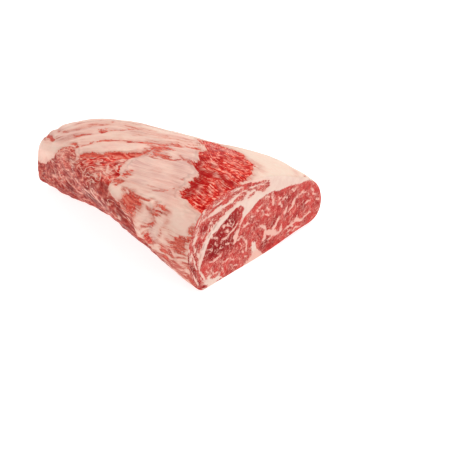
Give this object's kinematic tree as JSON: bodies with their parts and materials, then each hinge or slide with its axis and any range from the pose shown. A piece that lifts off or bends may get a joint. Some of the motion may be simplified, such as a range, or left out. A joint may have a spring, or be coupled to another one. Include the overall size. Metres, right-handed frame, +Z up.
{
  "type": "raw beef rib roast",
  "caption": "Raw boneless beef rib roast, a thick tapering joint of marbled meat with a pale fat cover, cut flat across both ends and lying on its underside",
  "frame": {"origin": "middle of the bounding box in plan, at the level of the flat underside", "axes": "+X along the roast towards the large cut face, +Y across towards the thin loin side, +Z up"},
  "size_m": [0.278, 0.2123, 0.0998],
  "materials": {
    "raw_meat": "moist raw beef: deep red lean with pale marbling, and a creamy pink fat cover, softly glossy"
  },
  "bodies": {
    "root": {"rib_roast": "raw_meat"}
  },
  "joints": []
}
